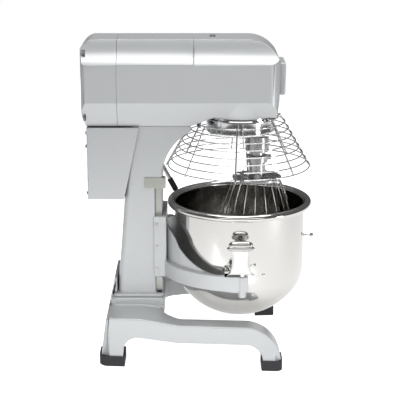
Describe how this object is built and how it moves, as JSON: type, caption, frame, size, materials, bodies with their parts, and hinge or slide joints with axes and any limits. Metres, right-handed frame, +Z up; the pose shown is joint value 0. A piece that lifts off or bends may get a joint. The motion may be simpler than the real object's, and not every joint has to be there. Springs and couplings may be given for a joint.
{
  "type": "stand mixer",
  "caption": "Bench stand mixer with a planetary whisk, a lifting bowl cradle, a swinging wire guard and a U-shaped base on rubber feet.",
  "frame": {"origin": "on the floor under the centre of the bounding box", "axes": "+X to the nose and bowl, +Y to the side with the controls, +Z up"},
  "size_m": [0.575, 0.444, 0.78],
  "materials": {
    "grey_paint": "satin grey enamel",
    "black_rubber": "matt",
    "stainless_steel": "polished",
    "bright_chrome": "mirror",
    "machined_steel": "machined",
    "cast_iron": "as cast",
    "cast_aluminium": "satin",
    "black_plastic": "matt",
    "green_plastic": "gloss",
    "red_plastic": "gloss"
  },
  "bodies": {
    "frame": {"base_casting": "grey_paint", "foot_front_left": "black_rubber", "foot_front_right": "black_rubber", "foot_rear_left": "black_rubber", "foot_rear_right": "black_rubber", "column": "grey_paint", "slide_ways": "machined_steel", "stop_bracket": "machined_steel", "lift_bush": "cast_iron", "head_housing": "grey_paint", "top_cover": "grey_paint", "rear_cover": "grey_paint", "attachment_hub_cover": "grey_paint", "main_shaft_bearings": "machined_steel", "motor_plate": "grey_paint", "motor_casing": "cast_iron", "drive_belt": "black_rubber", "ring_gear": "cast_iron", "guard_track": "bright_chrome", "rear_guard": "stainless_steel", "electrical_box": "grey_paint", "box_cover": "grey_paint", "cord_gland": "black_plastic", "cover_screws": "machined_steel", "relay_block": "black_plastic", "start_capacitor": "black_plastic", "control_panel": "machined_steel", "switch_block": "black_plastic"},
    "planetary": {"main_shaft": "machined_steel", "driven_pulley": "cast_iron", "planetary_carrier": "cast_aluminium", "tool_shaft_bearings": "machined_steel", "drip_collar": "bright_chrome"},
    "tool": {"tool_shaft": "machined_steel", "planet_gear": "cast_iron", "cross_pin": "machined_steel", "whisk_hub": "cast_aluminium", "whisk_wires": "stainless_steel"},
    "rotor": {"motor_rotor": "machined_steel", "motor_pulley": "cast_iron", "cooling_fan": "black_plastic"},
    "carriage": {"bowl_yoke": "grey_paint", "gib_screws": "machined_steel", "lift_rack": "cast_iron", "bowl": "stainless_steel", "bowl_handle_left": "stainless_steel", "bowl_handle_right": "stainless_steel", "bowl_stud": "stainless_steel"},
    "left_clamp": {"bowl_clamp_left": "machined_steel"},
    "right_clamp": {"bowl_clamp_right": "machined_steel"},
    "lever": {"lift_gear": "cast_iron", "lift_shaft": "machined_steel", "lift_lever": "bright_chrome", "lift_grip": "bright_chrome"},
    "swing_guard": {"front_guard": "stainless_steel"},
    "start_key": {"start_button": "green_plastic"},
    "stop_key": {"stop_button": "red_plastic"},
    "timer": {"timer_knob": "black_plastic"},
    "speed_arm": {"speed_lever": "machined_steel"},
    "reset_key": {"reset_button": "black_plastic"}
  },
  "joints": [
    {"name": "planetary_spin", "type": "hinge", "parent": "frame", "child": "planetary", "pos_m": [0.101, 0, 0.58], "axis": [0, 0, 1], "continuous": true},
    {"name": "tool_spin", "type": "hinge", "parent": "planetary", "child": "tool", "pos_m": [0.14388, 0, 0.55], "axis": [0, 0, 1], "continuous": true},
    {"name": "motor_spin", "type": "hinge", "parent": "frame", "child": "rotor", "pos_m": [-0.124, 0, 0.65], "axis": [0, 0, 1], "continuous": true},
    {"name": "yoke_lift", "type": "slide", "parent": "frame", "child": "carriage", "axis": [0, 0, 1], "range_m": [0, 0.07]},
    {"name": "lever_turn", "type": "hinge", "parent": "frame", "child": "lever", "pos_m": [-0.111, 0, 0.458], "axis": [0, 1, 0], "range_deg": [0, 100.3]},
    {"name": "left_clamp_turn", "type": "hinge", "parent": "carriage", "child": "left_clamp", "pos_m": [0.103, 0.1935, 0.235], "axis": [0, 0, 1], "range_deg": [0, 70]},
    {"name": "right_clamp_turn", "type": "hinge", "parent": "carriage", "child": "right_clamp", "pos_m": [0.103, -0.1935, 0.235], "axis": [0, 0, -1], "range_deg": [0, 70]},
    {"name": "guard_swing", "type": "hinge", "parent": "frame", "child": "swing_guard", "pos_m": [0.101, 0, 0.568], "axis": [0, 0, 1], "range_deg": [0, 150]},
    {"name": "start_press", "type": "slide", "parent": "frame", "child": "start_key", "axis": [0, -1, 0], "range_m": [0, 0.004], "stiffness_N_per_m": 400},
    {"name": "stop_press", "type": "slide", "parent": "frame", "child": "stop_key", "axis": [0, -1, 0], "range_m": [0, 0.004], "stiffness_N_per_m": 400},
    {"name": "reset_press", "type": "slide", "parent": "frame", "child": "reset_key", "axis": [1, 0, 0], "range_m": [0, 0.002], "stiffness_N_per_m": 400},
    {"name": "timer_turn", "type": "hinge", "parent": "frame", "child": "timer", "pos_m": [0.097, 0.11, 0.679], "axis": [0, 1, 0], "range_deg": [0, 300]},
    {"name": "speed_shift", "type": "hinge", "parent": "frame", "child": "speed_arm", "pos_m": [0.147, 0.11, 0.668], "axis": [0, 1, 0], "range_deg": [-35, 35]}
  ],
  "couplings": [
    {"joint": "tool_spin", "follows": "planetary_spin", "ratio": -3.3333},
    {"joint": "motor_spin", "follows": "planetary_spin", "ratio": 3.5},
    {"joint": "lever_turn", "follows": "yoke_lift", "rad_per_m": 25}
  ]
}
